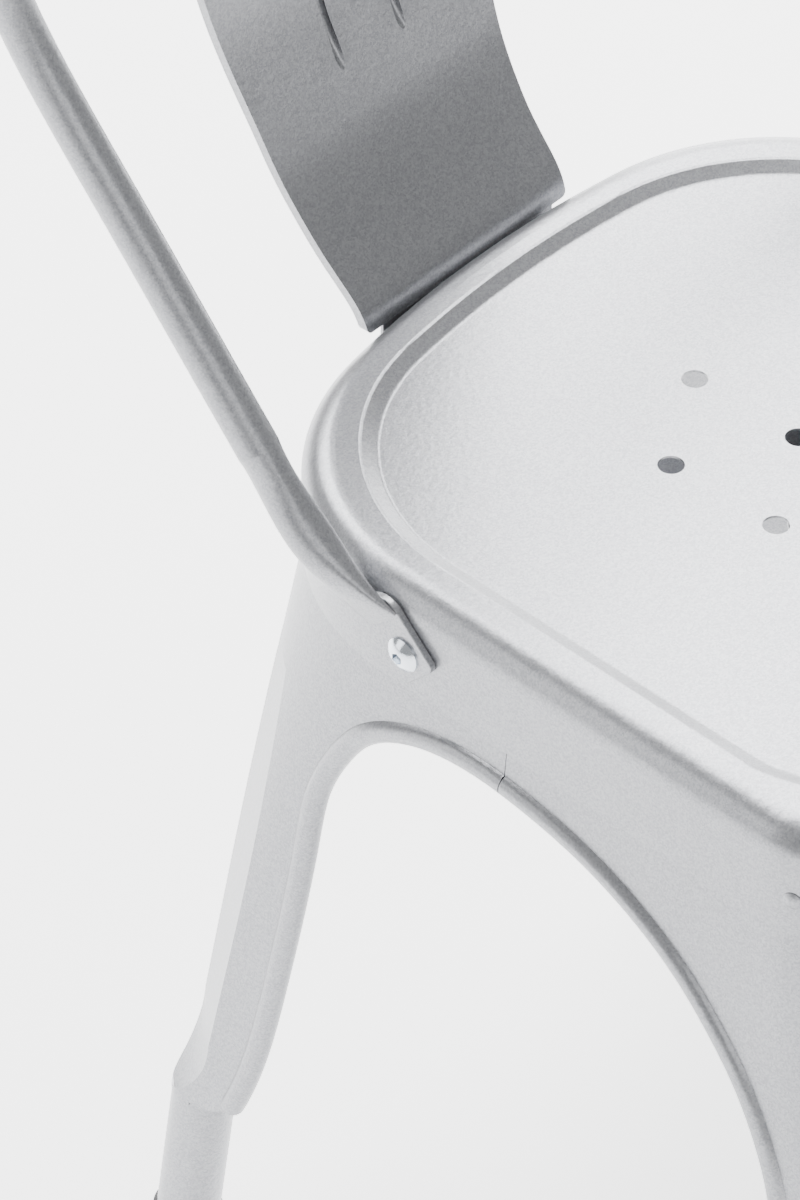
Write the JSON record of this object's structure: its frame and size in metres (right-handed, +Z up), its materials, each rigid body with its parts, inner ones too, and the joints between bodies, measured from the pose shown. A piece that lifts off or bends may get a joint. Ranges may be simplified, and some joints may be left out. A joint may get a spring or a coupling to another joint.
{
  "type": "stacking metal bistro chair",
  "caption": "Stacking bistro chair of pressed silver-grey steel sheet with a dished seat, a bent tube back and a curved splat, on splayed legs with rubber feet.",
  "frame": {"origin": "on the floor under the middle of the chair's bounding box", "axes": "+Z up, +Y towards the back of the chair, +X towards the sitter's left"},
  "size_m": [0.4556, 0.5268, 0.849],
  "materials": {
    "frame": "fine metallic powder coat, satin",
    "fasteners": "bright zinc plating",
    "feet": "moulded rubber, matt"
  },
  "bodies": {
    "root": {"seat_pan": "frame", "leg_rear_left": "frame", "leg_rear_right": "frame", "leg_front_left": "frame", "leg_front_right": "frame", "foot_rear_left": "feet", "foot_rear_right": "feet", "foot_front_left": "feet", "foot_front_right": "feet", "back_hoop": "frame", "back_splat": "frame", "brace_strap_upper": "frame", "brace_strap_lower": "frame", "brace_rivet": "frame", "skirt_rivets": "frame", "hoop_bolts": "fasteners", "hoop_washers": "fasteners", "hoop_nuts": "fasteners", "splat_bolts": "fasteners", "splat_washers": "fasteners", "splat_nuts": "fasteners"}
  },
  "joints": []
}
